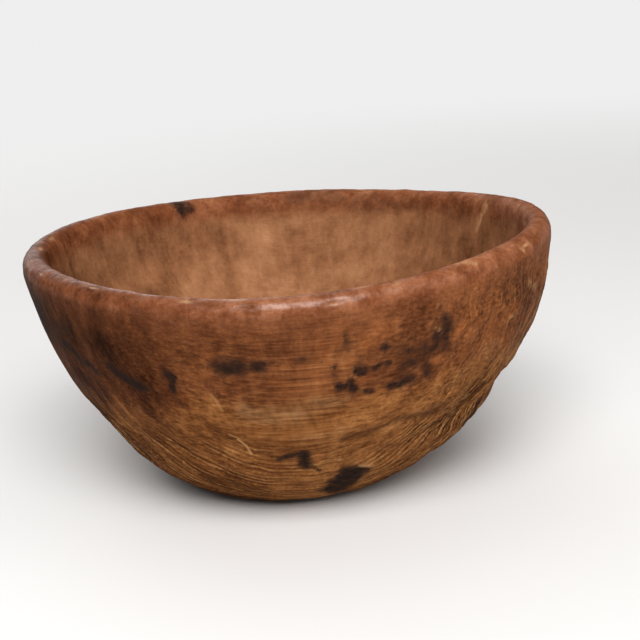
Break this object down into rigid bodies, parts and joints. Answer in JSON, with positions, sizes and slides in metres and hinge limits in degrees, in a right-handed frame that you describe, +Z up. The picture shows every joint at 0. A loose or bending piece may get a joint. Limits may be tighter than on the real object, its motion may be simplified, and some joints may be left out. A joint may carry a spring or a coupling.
{
  "type": "dough bowl",
  "caption": "Round hand-hewn wooden dough bowl with a thick rounded rim, a deep smooth hollow, uneven hewn sides and a flat foot, carved from a solid block.",
  "frame": {"origin": "on the table, under the middle of the bowl's outline", "axes": "+Z up, +X along the longer way across the rim to the bowl's right, -Y the front that the picture shows"},
  "size_m": [0.2608, 0.25, 0.1261],
  "materials": {
    "burl_wood": "old oiled burl wood, worn smooth at the rim and rough and stained below"
  },
  "bodies": {
    "root": {"bowl": "burl_wood"}
  },
  "joints": []
}
